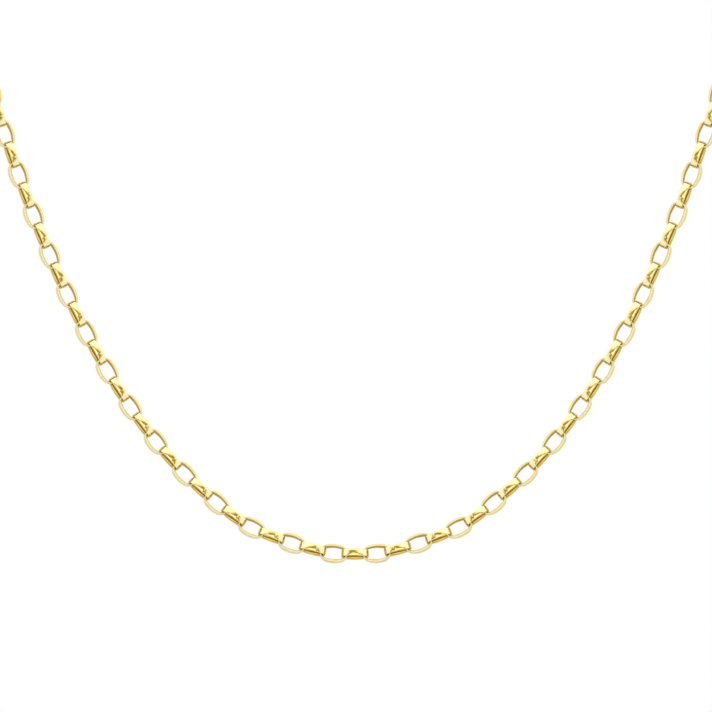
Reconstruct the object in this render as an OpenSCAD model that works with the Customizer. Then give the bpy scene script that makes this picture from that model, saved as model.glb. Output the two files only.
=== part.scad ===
// Oval rolo chain, closed at the nape by a bolt ring.
// Millimetres, +Z up. The origin is the middle of the back, where the necklace lies on the neck,
// and the front hangs in a plane that faces -Y.

/* [Necklace] */
// Length of the whole loop along its middle line
necklace_l = 508; // [490:2:600]
// Sag parameter of the front, the radius of the curve at its lowest point
hang_a = 32; // [29:0.5:35]
// Length along the chain from the lowest link to where each side leaves the front plane
front_l = 103; // [97:1:108]
// Radius of the turn from the front plane over the side of the neck
turn_r = 28; // [25:0.5:31]
// Rise of the back part above the level, in degrees
back_rise = 22; // [16:1:28]
// Angle that every link is turned about the chain from a squarely facing one
link_turn = 16.5; // [8:0.5:24]

/* [Links] */
// Outer length of a link
link_l = 4.7; // [4.54:0.02:5.2]
// Outer width of a link
link_w = 3.16; // [3.06:0.02:3.4]
// Height of the flat band that a link is bent from
band_h = 1.2; // [1.1:0.02:1.3]
// Thickness of the band at its middle
band_t = 0.41; // [0.37:0.01:0.44]
// Inner radius at a link's two ends
end_r = 1; // [0.9:0.01:1.06]
// Half the width of the flat along the middle of the band
flat_h = 0.25; // [0.2:0.01:0.3]
// Rise of the band's inner face from its edges to the flat
inner_crown = 0.14; // [0.1:0.01:0.16]
// Rise of the band's outer face from its edges to the flat
outer_crown = 0.07; // [0.04:0.01:0.1]
// By how much the tightly bent ends are slimmer than the sides, all round
end_slim = 0.01; // [0.005:0.005:0.02]
// Clearance between one link and the next, along the chain
link_gap = 0.16; // [0.14:0.01:0.2]

/* [Clasp] */
// Inner radius of the bolt ring
ring_r = 2.3; // [2:0.1:2.8]
// Thickness of the bolt ring's wire
ring_wire = 1.1; // [0.9:0.05:1.3]
// Inner radius of the small eye on the bolt ring
eye_r = 1; // [0.95:0.05:1.3]
// Thickness of the eye's wire
eye_wire = 0.7; // [0.6:0.05:0.9]
// Depth to which the eye is soldered into the ring
solder = 0.35; // [0.25:0.05:0.5]

/* [Hidden] */
$fn = 64;
gold = "#E9CB7C";

// One link, bent as an oval of two end arcs and two side arcs
inner_l = link_l / 2 - band_t;
inner_w = link_w / 2 - band_t;
end_x = inner_l - end_r;
side_r = (end_x * end_x + inner_w * inner_w - end_r * end_r) / (2 * (inner_w - end_r));
side_y = side_r - inner_w;
join_angle = atan2(side_y, end_x);

// The next link's band lies across an end arc and would meet it first at its edges or beside its flat
bearing_rise = max(arc_rise(end_r, band_h / 2) - inner_crown, arc_rise(end_r, flat_h));
bearing_gap = link_gap + 2 * bearing_rise;
pitch = link_l - 2 * band_t - bearing_gap;

// The bolt ring with its eye takes the place of one link, and is turned as an even one
clasp_inner_l = 2 * ring_r + ring_wire + 2 * eye_r + eye_wire - solder;
clasp_pitch = clasp_inner_l - bearing_gap;

// Links on each side of the lowest one, an odd number so that the clasp meets links that lie across it
side_n = 2 * round(((necklace_l - clasp_pitch) / pitch + 1) / 4) - 1;
side_l = (side_n + 0.5) * pitch;

// Slopes of the lowest links, which lie in short straight groups; the rest follow the hanging curve
low_slopes = [0, 4, 14.5, 18, 21, 25.5, 36, 40.5];
low_n = len(low_slopes) - 1;
low_end = low_point(low_n) + reach(low_n, 0) * slope_dir(low_slopes[low_n]);
hang_shift = low_end - hang_curve(low_n * pitch + reach(low_n, 0));

// The route of the right side: a hanging curve, a turn, a straight run and a quarter circle
front_end = hang_point(front_l);
front_t = hang_dir(front_l);
back_t = [0, cos(back_rise), sin(back_rise)];
turn_axis = unit(cross(front_t, back_t));
turn_angle = acos(front_t * back_t);
turn_l = turn_r * turn_angle * PI / 180;
turn_end = front_end + turn_r * tan(turn_angle / 2) * (front_t + back_t);
back_axis = [0, -sin(back_rise), cos(back_rise)];
back_r = turn_end.x - clasp_pitch / 2;
back_l = back_r * PI / 2;
run_l = side_l - front_l - turn_l - back_l;
nape = [0, (turn_end + (run_l + back_r) * back_t).y, (turn_end + (run_l + back_r) * back_t).z];

function unit(v) = v / norm(v);
function arc_rise(r, y) = r - sqrt(r * r - y * y);
function spin(v, axis, a) = v * cos(a) + cross(axis, v) * sin(a) + axis * (axis * v) * (1 - cos(a));

// Place and direction on the hanging curve, s along it from the lowest point
function hang_curve(s) =
    [hang_a * ln(s / hang_a + sqrt(s * s / (hang_a * hang_a) + 1)), 0,
     sqrt(hang_a * hang_a + s * s) - hang_a];
function hang_point(s) = hang_curve(s) + hang_shift;
function hang_dir(s) = unit([hang_a, 0, s]);

// A link swings about the centres of the end arcs of the link that it bends across. Those are the odd
// links, and in the turn the even ones. So it lies on a chord that ends there, this far to each side.
function in_turn(s) = s > front_l && s < front_l + turn_l;
function reach(k, s) = (k % 2 == 1) != in_turn(s) ? end_x : pitch - end_x;

// Middle of one of the lowest links, each laid on from the one before
function slope_dir(a) = [cos(a), 0, sin(a)];
function low_point(k) =
    k == 0 ? [0, 0, 0] : low_point(k - 1) + reach(k - 1, 0) * slope_dir(low_slopes[k - 1])
                         + reach(k, 0) * slope_dir(low_slopes[k]);

// A stretch turns about its axis as it is passed, so directions are carried along it without twist
function turn_at(s) = min(max(s - front_l, 0), turn_l) / turn_r * 180 / PI;
function back_at(s) = max(s - front_l - turn_l - run_l, 0) / back_r * 180 / PI;
function carried(v, s) = spin(spin(v, turn_axis, turn_at(s)), back_axis, back_at(s));

// Across the chain, in the plane it hangs in
function route_in(s) = let (t = hang_dir(min(s, front_l))) carried([-t.z, 0, t.x], s);

function arc_point(p, t, axis, r, a) = p + r * (sin(a) * t + (1 - cos(a)) * cross(axis, t));
function route_point(s) =
    (s <= front_l ? hang_point(s) :
     s <= front_l + turn_l ? arc_point(front_end, front_t, turn_axis, turn_r, turn_at(s)) :
     s <= side_l - back_l ? turn_end + (s - front_l - turn_l) * back_t :
     arc_point(turn_end + run_l * back_t, back_t, back_axis, back_r, back_at(s))) - nape;

// Middle and direction of link k
function link_point(k) =
    let (s = k * pitch, r = reach(k, s))
    k <= low_n ? low_point(k) - nape : (route_point(s - r) + route_point(s + r)) / 2;
function link_dir(k) =
    let (s = k * pitch, r = reach(k, s))
    k <= low_n ? slope_dir(low_slopes[k]) : unit(route_point(s + r) - route_point(s - r));

// Direction of a width: even links show their edge to the front, odd links show their hole
function width_dir(k, t, across) =
    let (inward = unit(across - (across * t) * t), outward = cross(t, inward))
    k % 2 == 0 ? cos(link_turn) * outward + sin(link_turn) * inward
               : cos(link_turn) * inward - sin(link_turn) * outward;

function flip(v, side) = [side * v.x, v.y, v.z];

// Sets its children at a place, with X along one direction and Y along another
module set_along(p, x, y) {
    z = cross(x, y);
    multmatrix([[x.x, y.x, z.x, p.x], [x.y, y.y, z.y, p.y], [x.z, y.z, z.z, p.z]]) children();
}

// Section of the band, its inner face at a distance r from the axis of the bend
module band_section(r, slim) {
    h = band_h / 2 - slim;
    x_in = r + slim;
    x_out = r + band_t - slim;
    polygon([[x_in, flat_h], [x_in + inner_crown, h], [x_out - outer_crown, h], [x_out, flat_h],
             [x_out, -flat_h], [x_out - outer_crown, -h], [x_in + inner_crown, -h], [x_in, -flat_h]]);
}

// One link: its length along X, its width along Y, the band's height along Z.
// Each end arc runs a few degrees into the sides.
module link() {
    past = 3;
    for (side = [0, 1]) mirror([side, 0, 0]) translate([end_x, 0, 0])
        rotate_extrude(start = -join_angle - past, angle = 2 * (join_angle + past)) band_section(end_r, end_slim);
    for (side = [0, 1]) mirror([0, side, 0]) translate([0, -side_y, 0])
        rotate_extrude(start = join_angle, angle = 180 - 2 * join_angle) band_section(side_r, 0);
}

module placed_link(k, side) {
    t = link_dir(k);
    w = width_dir(k, t, route_in(k * pitch));
    set_along(flip(link_point(k), side), flip(t, side), flip(w, side)) link();
}

module chain_side(first, side) {
    color(gold) for (k = [first : side_n]) placed_link(k, side);
}

module chain_right() {
    chain_side(0, 1);
}

module chain_left() {
    chain_side(1, -1);
}

module wire_ring(r, wire) {
    rotate_extrude() translate([r + wire / 2, 0]) circle(d = wire);
}

// The bolt ring holds the right side, its eye the left side
module clasp() {
    w = width_dir(0, [-1, 0, 0], route_in(side_l));
    color(gold) set_along([0, 0, 0], [1, 0, 0], w) {
        translate([clasp_inner_l / 2 - ring_r, 0, 0]) wire_ring(ring_r, ring_wire);
        translate([eye_r - clasp_inner_l / 2, 0, 0]) wire_ring(eye_r, eye_wire);
    }
}

chain_left();
chain_right();
clasp();
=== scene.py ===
import math
import random

import bmesh
import bpy
import numpy as np
from mathutils import Matrix, Vector


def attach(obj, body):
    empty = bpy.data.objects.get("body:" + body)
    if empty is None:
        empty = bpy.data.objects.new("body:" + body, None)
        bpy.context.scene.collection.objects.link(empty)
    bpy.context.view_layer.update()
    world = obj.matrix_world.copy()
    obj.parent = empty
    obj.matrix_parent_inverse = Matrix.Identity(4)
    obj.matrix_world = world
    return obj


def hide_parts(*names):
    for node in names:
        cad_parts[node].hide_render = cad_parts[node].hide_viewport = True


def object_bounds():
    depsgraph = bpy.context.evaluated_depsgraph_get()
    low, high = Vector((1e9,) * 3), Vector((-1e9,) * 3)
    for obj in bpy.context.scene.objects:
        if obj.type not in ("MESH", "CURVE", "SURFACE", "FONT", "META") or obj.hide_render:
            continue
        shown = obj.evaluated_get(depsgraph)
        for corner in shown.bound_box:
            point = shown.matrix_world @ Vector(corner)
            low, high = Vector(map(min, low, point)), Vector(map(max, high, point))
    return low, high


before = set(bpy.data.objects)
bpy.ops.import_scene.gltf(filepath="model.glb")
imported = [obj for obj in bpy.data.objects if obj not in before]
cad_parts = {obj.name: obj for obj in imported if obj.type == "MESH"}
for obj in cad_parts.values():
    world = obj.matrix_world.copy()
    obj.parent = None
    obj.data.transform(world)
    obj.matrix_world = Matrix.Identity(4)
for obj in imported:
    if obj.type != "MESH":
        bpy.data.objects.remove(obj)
cadLow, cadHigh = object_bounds()
mm = 0.001  # sizes below are in millimetres, the scene in metres
mergeWithin = 0.002  # points closer than this become one
scene = bpy.context.scene
scene.view_settings.view_transform = "Standard"  # a white ground stays white
print("frame loaded,", len(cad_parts), "nodes")

# Camera, level and square to the plane that the front of the chain hangs in
cameraView = {
    "distance": 2500,        # from that plane, for a long lens
    "pictureWidth": 118.95,  # taken in at that plane
    "planeDepth": 1.56,      # of that plane behind the foremost point
    "aboveLowest": 34.635,   # middle of the picture above the lowest point of the chain
    "rightOfMiddle": 0.15,
    "nearest": 100,          # and farthest, of what the camera sees
    "farthest": 30000,
}


def addCamera(view):
    camera = bpy.data.objects.new("camera", bpy.data.cameras.new("camera"))
    scene.collection.objects.link(camera)
    scene.camera = camera
    camera.location = Vector((view["rightOfMiddle"], view["planeDepth"] - view["distance"],
                              view["aboveLowest"])) * mm + Vector((0, cadLow.y, cadLow.z))
    camera.rotation_euler = (math.radians(90), 0, 0)
    camera.data.lens = camera.data.sensor_width * view["distance"] / view["pictureWidth"]
    camera.data.clip_start = view["nearest"] * mm
    camera.data.clip_end = view["farthest"] * mm
    print("camera at", [round(c, 4) for c in camera.location])


addCamera(cameraView)


# Links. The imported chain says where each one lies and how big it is.
linkShape = {
    "bandThick": 0.53,      # of the flat band, at its middle
    "endThin": 0.11,        # by which the tightly bent ends are thinner
    "thinFrom": 0.9,        # along the link, from its middle to where it starts to thin
    "endRadius": 0.92,      # inside a link's two ends
    "outerCrown": 0.03,     # by which the outer face is lower at its edges
    "innerCrown": 0.16,     # the same on the inner face
    "innerFlat": 0.15,      # half the width of the flat along the inner face
    "edgeRound": 0.13,      # radius of the band's four long edges
    "twist": -3.5,          # degrees a millimetre that the band keeps from the coil it was cut from
    "seamAt": 0.38,         # from a link's middle to its soldered joint, down the chain
    "seamSpread": 0.1,      # from link to link
    "seamWidth": 0.2,       # half the width of the slight swelling that the solder leaves
    "seamRise": 0.033,
    "dullAndShadeReach": 0.22,  # from the inner face outwards, over which its duller skin and painted shade fade
    "edgeLessShade": 0.35,     # share by which the duller skin and painted shade lessen towards the edges of the inner face
    "edgeDullShade": 0.24,       # share of the duller skin and painted shade that is left on the narrow edges
    "tuckFrom": 1.85,       # along the link, to where its ends lie inside the next links and take the duller skin and painted shade
    "tuckFull": 2.8,
    "patternSpan": 400,     # of surface pattern, out of which each link takes a place of its own
    "edgeSteps": 3,         # round each edge
    "faceSteps": 6,         # across each face of the band
    "endSteps": 16,         # round each end
    "sideSteps": 8,         # along each side
    "seamSteps": 9,         # over the stretch round the joint, this far to each side
    "seamReach": 0.55,
}


def readLinks(node):
    # A copy of the node's loose triangles, merged, falls into its separate links. They are found in
    # the mesh's own order, so that each one gets the same random draws on every run.
    bm = bmesh.new()
    bm.from_mesh(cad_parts[node].data)
    bmesh.ops.remove_doubles(bm, verts=bm.verts, dist=mergeWithin * mm)
    left = set(bm.verts)
    links = []
    for first in bm.verts:
        if first not in left:
            continue
        left.discard(first)
        found = [first]
        for vert in found:
            for other in (e.other_vert(vert) for e in vert.link_edges):
                if other in left:
                    left.discard(other)
                    found.append(other)
        faces = dict.fromkeys(f for v in found for f in v.link_faces)
        links.append(linkAxes(np.array([[v.co for v in f.verts[:3]] for f in faces], float)))
    bm.free()
    return links


def linkAxes(corners):
    # Area moments of the surface give its middle and its three axes, longest first.
    # The first one points down the chain, the second one to the front.
    sums = corners.sum(1)
    sides = corners[:, 1:] - corners[:, :1]
    areas = np.linalg.norm(np.cross(sides[:, 0], sides[:, 1]), axis=1) / 2
    middle = (areas[:, None] * sums / 3).sum(0) / areas.sum()
    corners = corners - middle
    sums = corners.sum(1)
    spread = np.einsum("f,fij,fik->jk", areas, corners, corners)
    spread += np.einsum("f,fj,fk->jk", areas, sums, sums)
    along, across = (Vector(v) for v in np.linalg.eigh(spread)[1].T[:0:-1])
    along *= -math.copysign(1, along.z)
    across *= -math.copysign(1, across.y)
    axes = Matrix((along, across, along.cross(across))).transposed()
    size = np.ptp(corners.reshape(-1, 3) @ np.array(axes), axis=0)
    return {"place": Matrix.Translation(Vector(middle)) @ axes.to_4x4(), "size": Vector(size) / mm}


def bandSection(bm, shape, size, inside, dullSkinAndShade):
    # Rounded section of the band in the XZ plane, its inner face at the end's radius from the axis.
    # Each point keeps how near the inner face it lies and how much duller skin and painted shade it
    # takes.
    radius = shape["endRadius"]
    half = size.z / 2
    corners = [bm.verts.new((x, 0, z)) for x, z in
               ((radius, -half), (radius + shape["bandThick"], -half),
                (radius + shape["bandThick"], half), (radius, half))]
    for i in range(4):
        bm.edges.new((corners[i], corners[(i + 1) % 4]))
    bmesh.ops.bevel(bm, geom=corners, affect="VERTICES", offset=shape["edgeRound"],
                    segments=shape["edgeSteps"], profile=0.5, material=-1)
    faces = [e for e in bm.edges if e.calc_length() > half]
    bmesh.ops.subdivide_edges(bm, edges=faces, cuts=shape["faceSteps"] - 1)
    middle = radius + shape["bandThick"] / 2
    for vert in bm.verts:
        inner = vert.co.x < middle
        flat = shape["innerFlat"] if inner else 0
        share = max(0.0, (abs(vert.co.z) - flat) / (half - flat)) ** 2
        vert[inside] = max(0.0, 1 - (vert.co.x - radius) / shape["edgeRound"])
        # Painted shade, with a duller skin: strongest on the inner face, less towards its edges
        vert[dullSkinAndShade] = max(0.0, 1 - (vert.co.x - radius) / shape["dullAndShadeReach"])
        vert[dullSkinAndShade] *= 1 - shape["edgeLessShade"] * (vert.co.z / half) ** 2
        edge = 1 - (half - abs(vert.co.z)) / shape["edgeRound"]
        vert[dullSkinAndShade] = max(vert[dullSkinAndShade], shape["edgeDullShade"] * edge)
        vert.co.x += share * (shape["innerCrown"] if inner else -shape["outerCrown"])
    return list(bm.edges)


def linkMesh(shape, size, side):
    # An oval of two end arcs and two side arcs, spun on from one section
    bm = bmesh.new()
    inside = bm.verts.layers.float.new("inside")
    dullSkinAndShade = bm.verts.layers.float.new("dullSkinAndShade")
    fromSeam = bm.verts.layers.float.new("fromSeam")
    endX = size.x / 2 - shape["bandThick"] - shape["endRadius"]
    innerW = size.y / 2 - shape["bandThick"]
    endsOver = innerW - shape["endRadius"]
    sideRadius = (endX ** 2 + innerW ** 2 - shape["endRadius"] ** 2) / (2 * endsOver)
    sideY = sideRadius - innerW
    join = math.atan2(sideY, endX)
    section = bandSection(bm, shape, size, inside, dullSkinAndShade)
    bmesh.ops.rotate(bm, verts=bm.verts, cent=(0, 0, 0), matrix=Matrix.Rotation(-join, 3, "Z"))
    bmesh.ops.translate(bm, verts=bm.verts, vec=(endX, 0, 0))
    sideAngle = math.pi - 2 * join
    outerRadius = sideRadius + shape["bandThick"]
    seamOver = 2 * shape["seamReach"] / outerRadius
    seamFrom = (sideAngle - seamOver) / 2 - math.asin(shape["seamAt"] / outerRadius)
    seamTo = sideAngle - seamFrom - seamOver
    stepAngle = sideAngle / shape["sideSteps"]
    for x, y, angle, steps in ((endX, 0, 2 * join, shape["endSteps"]),
                               (0, -sideY, seamFrom, round(seamFrom / stepAngle)),
                               (0, -sideY, seamOver, shape["seamSteps"]),
                               (0, -sideY, seamTo, round(seamTo / stepAngle)),
                               (-endX, 0, 2 * join, shape["endSteps"]),
                               (0, sideY, sideAngle, shape["sideSteps"])):
        done = bmesh.ops.spin(bm, geom=section, cent=(x, y, 0), axis=(0, 0, 1), angle=angle,
                              steps=steps, use_merge=False, use_duplicate=False)
        section = [g for g in done["geom_last"] if isinstance(g, bmesh.types.BMEdge)]
    bmesh.ops.remove_doubles(bm, verts=bm.verts, dist=mergeWithin)
    bmesh.ops.recalc_face_normals(bm, faces=bm.faces)
    for face in bm.faces:
        face.smooth = True
    thinOver = endX + shape["endRadius"] - shape["thinFrom"]
    strandY = (size.y - shape["bandThick"]) / 2
    # Each strand twists away from its middle and is level again at its two ends
    for vert in bm.verts:
        x = vert.co.x
        turn = side * math.radians(shape["twist"]) * x * (1 - (2 * x / size.x) ** 2)
        centre = Vector((x, math.copysign(strandY, vert.co.y), 0))
        vert.co = centre + Matrix.Rotation(turn, 3, "X") @ (vert.co - centre)
    # The ends thin from inside, eased in, and take the duller skin and painted shade where they are
    # tucked into the next links
    for vert in bm.verts:
        share = max(0.0, min(1.0, (abs(vert.co.x) - shape["thinFrom"]) / thinOver))
        outwards = Vector((vert.co.x - math.copysign(endX, vert.co.x), vert.co.y, 0)).normalized()
        vert.co += outwards * shape["endThin"] * vert[inside] * share ** 2 * (3 - 2 * share)
        tucked = (abs(vert.co.x) - shape["tuckFrom"]) / (shape["tuckFull"] - shape["tuckFrom"])
        vert[dullSkinAndShade] = max(vert[dullSkinAndShade], min(1.0, tucked))
        vert[fromSeam] = vert.co.x - shape["seamAt"] if vert.co.y > 0 else size.x
    bm.verts.layers.float.remove(inside)
    mesh = bpy.data.meshes.new("link")
    bm.to_mesh(mesh)
    bm.free()
    return mesh


def addPiece(name, bm, material, slot, *nodes):
    mesh = bpy.data.meshes.new(name)
    bm.to_mesh(mesh)
    bm.free()
    mesh.materials.append(material)
    piece = bpy.data.objects.new(name, mesh)
    scene.collection.objects.link(piece)
    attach(piece, "root")
    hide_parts(*nodes)
    print(name, len(mesh.polygons), "faces")
    return piece


def addChain(shape, name, node, side):
    # One link is made, and a copy set at each place, with its own joint and stretch of pattern
    links = readLinks(node)
    link = linkMesh(shape, links[0]["size"], side)
    bm = bmesh.new()
    linkPlace = bm.verts.layers.float_vector.new("linkPlace")
    bm.verts.layers.float.new("dullSkinAndShade")
    fromSeam = bm.verts.layers.float.new("fromSeam")
    rng = random.Random(node)
    for row in links:
        count = len(bm.verts)
        bm.from_mesh(link)
        bm.verts.ensure_lookup_table()
        verts = bm.verts[count:]
        shift = Vector([rng.uniform(0, shape["patternSpan"]) for _ in range(3)])
        seamShift = rng.uniform(-1, 1) * shape["seamSpread"]
        for vert in verts:
            away = (vert[fromSeam] + seamShift) / shape["seamWidth"]
            vert.co += vert.normal * shape["seamRise"] * math.exp(-away * away)
            vert[linkPlace] = vert.co + shift
        bmesh.ops.transform(bm, verts=verts, matrix=row["place"] @ Matrix.Scale(mm, 4))
    bm.verts.layers.float.remove(fromSeam)
    bpy.data.meshes.remove(link)
    print(node, "has", len(links), "links of", [round(s, 2) for s in links[0]["size"]], "mm")
    addPiece(name, bm, linkGold, "gold_links", node)


def toLinear(hexColour):
    parts = [int(hexColour[i:i + 2], 16) / 255 for i in (1, 3, 5)]
    return [c / 12.92 if c <= 0.04045 else ((c + 0.055) / 1.055) ** 2.4 for c in parts] + [1.0]


def addNode(tree, kind, settings=None, **links):
    # Settings that the node has itself are set on it, others on its socket; links give a socket's source.
    # Sockets that share a name go by number: a colour mix takes 6 and 7 and gives 2, a plain one 2 and 3.
    node = tree.nodes.new(kind)
    for name, value in (settings or {}).items():
        if hasattr(node, name):
            setattr(node, name, value)
        else:
            node.inputs[int(name) if name.isdigit() else name].default_value = value
    for name, source in links.items():
        key = int(name[1:]) if name[0] == "_" else name.replace("_", " ")
        tree.links.new(source, node.inputs[key])
    return node


# Polished 9 carat yellow gold: pale, mirror-bright outside from tumbling, with faint hairlines
# along the band; the inside of each link has a rougher skin, and its colour is painted darker and deeper
# as shade
goldFinish = {
    "pale": "#FEEFAE",
    "warm": "#FCE89E",
    # painted shade: the darker, deeper colour of the links' insides and tucked ends
    "insideShade": "#CCAA4A",
    "roughOutside": 0.07,
    "smoothest": 0.7,       # and roughest, as shares of that, from hairline to hairline
    "roughest": 1.4,
    "roughInside": 0.12,
    "tintSize": 1.6,        # of the patches where the alloy looks warmer
    "hairlineGap": 0.05,    # between hairlines, drawn coarser than real ones so that they show
    "hairlineDepth": 0.0012,
    "hairlineShown": 0.25,  # share of the slope of their sides
    "hairlineAlong": 0.06,  # their width as a share of their length
    "rippleSize": 0.45,     # across the band, of the drawn unevenness that bends reflections
    "rippleLong": 2.5,      # times as long along the band
    "rippleDepth": 0.014,
}


def goldMaterial(name, finish, banded):
    # Banded, it takes its places, and its duller skin and painted shade, from what each link carries
    material = bpy.data.materials.new(name)
    material.use_nodes = True
    tree = material.node_tree
    tree.nodes.clear()
    place = addNode(tree, "ShaderNodeTexCoord").outputs["Object"]
    unit = 1 / mm
    drawn = 1
    scored = 1
    if banded:
        place = addNode(tree, "ShaderNodeAttribute", {"attribute_name": "linkPlace"}).outputs["Vector"]
        unit = 1
        drawn = 1 / finish["rippleLong"]
        scored = finish["hairlineAlong"]
    tint = addNode(tree, "ShaderNodeTexNoise", {"Scale": unit / finish["tintSize"], "Detail": 2.0},
                   Vector=place)
    tones = {"data_type": "RGBA", "6": toLinear(finish["warm"]), "7": toLinear(finish["pale"])}
    colour = addNode(tree, "ShaderNodeMix", tones, Factor=tint.outputs[0]).outputs[2]
    lines = addNode(tree, "ShaderNodeMapping", {"Scale": (scored, scored, 1)}, Vector=place)
    scratch = addNode(tree, "ShaderNodeTexNoise", {"Scale": unit / finish["hairlineGap"], "Detail": 1.0},
                      Vector=lines.outputs[0])
    between = {"From Min": 0.3, "From Max": 0.7,  # where most of the noise lies
               "To Min": finish["roughOutside"] * finish["smoothest"],
               "To Max": finish["roughOutside"] * finish["roughest"]}
    roughness = addNode(tree, "ShaderNodeMapRange", between, Value=scratch.outputs[0]).outputs[0]
    if banded:
        # Painted shade: insides and tucked ends are mixed toward a darker colour, and made rougher
        inside = addNode(tree, "ShaderNodeAttribute", {"attribute_name": "dullSkinAndShade"}).outputs["Fac"]
        deep = {"data_type": "RGBA", "7": toLinear(finish["insideShade"])}
        colour = addNode(tree, "ShaderNodeMix", deep, Factor=inside, _6=colour).outputs[2]
        roughness = addNode(tree, "ShaderNodeMix", {"3": finish["roughInside"]}, Factor=inside,
                            _2=roughness).outputs[0]
    lengths = addNode(tree, "ShaderNodeMapping", {"Scale": (drawn, drawn, 1)}, Vector=place)
    ripple = addNode(tree, "ShaderNodeTexNoise", {"Scale": unit / finish["rippleSize"], "Detail": 0.0},
                     Vector=lengths.outputs[0])
    waves = addNode(tree, "ShaderNodeBump", {"Strength": 1.0, "Distance": finish["rippleDepth"] * mm},
                    Height=ripple.outputs[0])
    score = {"Strength": finish["hairlineShown"], "Distance": finish["hairlineDepth"] * mm}
    hairs = addNode(tree, "ShaderNodeBump", score, Height=scratch.outputs[0], Normal=waves.outputs[0])
    metal = addNode(tree, "ShaderNodeBsdfPrincipled", {"Metallic": 1.0}, Base_Color=colour,
                    Roughness=roughness, Normal=hairs.outputs[0])
    addNode(tree, "ShaderNodeOutputMaterial", None, Surface=metal.outputs[0])
    return material


linkGold = goldMaterial("gold_9ct_tumbled", goldFinish, True)
claspGold = goldMaterial("gold_9ct_buffed", goldFinish, False)
addChain(linkShape, "links_left", "chain_left", -1)
addChain(linkShape, "links_right", "chain_right", 1)


# Bolt ring with its eye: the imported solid, its solder joint flowed into a fillet
claspShape = {
    "grain": 0.08,          # of the new surface
    "flow": 10,             # smoothing passes over the joint
    "flowShare": 0.5,       # of the way that a pass moves each point
}


def addClasp(shape):
    bm = bmesh.new()
    bm.from_mesh(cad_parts["clasp"].data)
    bmesh.ops.remove_doubles(bm, verts=bm.verts, dist=mergeWithin * mm)
    piece = addPiece("bolt_ring_and_eye", bm, claspGold, "gold_clasp", "clasp")
    remesh = piece.modifiers.new("skin", "REMESH")
    remesh.mode = "VOXEL"
    remesh.voxel_size = shape["grain"] * mm
    remesh.use_smooth_shade = True
    smooth = piece.modifiers.new("solder", "SMOOTH")
    smooth.factor = shape["flowShare"]
    smooth.iterations = shape["flow"]


addClasp(claspShape)


# A pale floor under a white ground, and a light tent round both
floorLook = {
    "below": 250,           # the lowest link
    "size": 3000,
    "paper": "#FDFDFC",     # matt white paper, which shows neither an edge nor a reflection
    "rough": 0.9,
}
tentLook = {
    "ground": "#FFFFFF",    # behind the chain, seen by the camera alone
    "walls": (              # degrees from the lens, radiance, share of the warm tone (cool below 0)
        (0, 1.55, 0), (14, 1.45, 0), (20, 1.2, 0), (25.5, 1.05, 0), (29, 0.38, 1), (33.5, 0.34, 1),
        (37, 0.85, 0.1), (41, 1.02, -0.2), (60, 1.04, -0.35), (84, 1.04, -0.35), (92, 1.2, -0.2),
        (100, 1.05, -0.1), (110, 0.66, 0), (117, 0.52, 0.1), (126, 0.52, 0.1), (136, 0.84, 0),
        (180, 0.78, 0)),
    "brightest": 2,         # radiance that the walls' scale ends at
    "warmTone": "#FFE238",
    "above": 1.15,          # brighter overhead
    "below": 0.88,
}


def addFloor(look):
    bm = bmesh.new()
    bmesh.ops.create_grid(bm, x_segments=1, y_segments=1, size=look["size"] / 2 * mm,
                          matrix=Matrix.Translation((0, 0, cadLow.z - look["below"] * mm)))
    mesh = bpy.data.meshes.new("floor")
    bm.to_mesh(mesh)
    bm.free()
    floor = bpy.data.objects.new("floor", mesh)
    scene.collection.objects.link(floor)
    floor.visible_glossy = False  # the gold mirrors the tent alone
    material = bpy.data.materials.new("white_paper")
    material.use_nodes = True
    paper = material.node_tree.nodes["Principled BSDF"]
    paper.inputs["Base Color"].default_value = toLinear(look["paper"])
    paper.inputs["Roughness"].default_value = look["rough"]
    mesh.materials.append(material)


def addTent(look):
    # The light depends on the angle between its direction and the lens, and a little on its height
    world = bpy.data.worlds.new("tent")
    scene.world = world
    world.use_nodes = True
    tree = world.node_tree
    tree.nodes.clear()
    way = addNode(tree, "ShaderNodeTexCoord").outputs["Generated"]
    toLens = {"operation": "DOT_PRODUCT", "1": (0, -1, 0)}
    facing = addNode(tree, "ShaderNodeVectorMath", toLens, _0=way)
    angle = addNode(tree, "ShaderNodeMath", {"operation": "ARCCOSINE"}, _0=facing.outputs["Value"])
    share = addNode(tree, "ShaderNodeMath", {"operation": "DIVIDE", "1": math.pi}, _0=angle.outputs[0])
    ramp = addNode(tree, "ShaderNodeValToRGB", None, Fac=share.outputs[0])
    stops = ramp.color_ramp.elements
    warmTone = toLinear(look["warmTone"])[:3]
    for i, (degrees, level, warm) in enumerate(look["walls"]):
        stop = stops[i] if i < 2 else stops.new(degrees / 180)  # the ramp starts with two stops
        stop.position = degrees / 180
        stop.color = [level / look["brightest"] * (1 - warm + warm * c) for c in warmTone] + [1]
    height = addNode(tree, "ShaderNodeSeparateXYZ", None, Vector=way)
    rise = {"From Min": -1.0, "From Max": 1.0, "To Min": look["below"] * look["brightest"],
            "To Max": look["above"] * look["brightest"]}
    tall = addNode(tree, "ShaderNodeMapRange", rise, Value=height.outputs["Z"])
    light = addNode(tree, "ShaderNodeBackground", None, Color=ramp.outputs[0], Strength=tall.outputs[0])
    ground = addNode(tree, "ShaderNodeBackground", {"Color": toLinear(look["ground"])})
    seen = addNode(tree, "ShaderNodeLightPath").outputs["Is Camera Ray"]
    both = addNode(tree, "ShaderNodeMixShader", None, _0=seen, _1=light.outputs[0],
                   _2=ground.outputs[0])
    addNode(tree, "ShaderNodeOutputWorld", None, Surface=both.outputs[0])


addFloor(floorLook)
addTent(tentLook)
print("room and light made")
